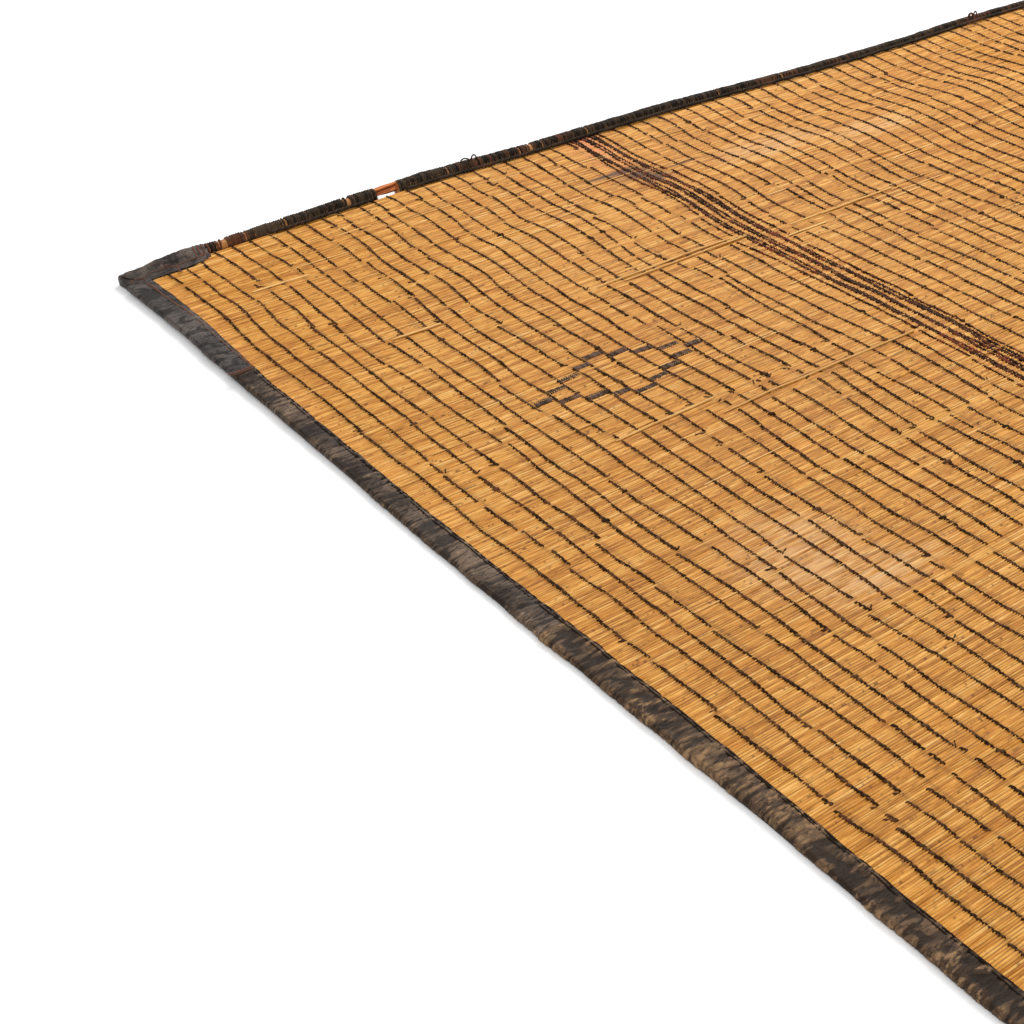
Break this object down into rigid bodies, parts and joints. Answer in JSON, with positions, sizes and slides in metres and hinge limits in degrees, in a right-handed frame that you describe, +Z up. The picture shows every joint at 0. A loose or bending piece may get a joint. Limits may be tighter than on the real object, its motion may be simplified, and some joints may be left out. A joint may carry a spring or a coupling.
{
  "type": "tuareg mat",
  "caption": "Rectangular floor mat of straw stalks twined with leather thong, with leather-bound ends, thong-wrapped rolls along its sides and leather corner caps.",
  "frame": {"origin": "bottom centre of the mat's box, on the floor", "axes": "+X along the stalks, +Y along the twined rows towards the back side, +Z up"},
  "size_m": [3.038, 2.0278, 0.0246],
  "materials": {
    "straw": "golden dry stalks with brown freckles, satin",
    "thong": "dark brown leather thong, worn and dull",
    "leather_blue": "blue-black dyed goat leather, creased, soft sheen",
    "leather_grey": "dark grey-brown wrinkled leather",
    "leather_mottled": "dark brown leather scuffed to tan",
    "bare_stalks": "reddish dyed stalk bundle, matt"
  },
  "bodies": {
    "root": {"field": "straw", "binding_left_1": "leather_blue", "binding_left_2": "leather_grey", "binding_left_3": "leather_mottled", "binding_right_1": "leather_blue", "binding_right_2": "leather_grey", "binding_right_3": "leather_mottled", "wrap_back_1": "thong", "wrap_back_2": "thong", "wrap_front": "thong", "core_back": "bare_stalks", "cord_back_1": "thong", "cord_back_2": "thong", "cord_front": "thong", "cap_left_back": "leather_blue", "cap_right_back": "leather_blue", "cap_left_front": "leather_blue", "cap_right_front": "leather_blue"}
  },
  "joints": []
}
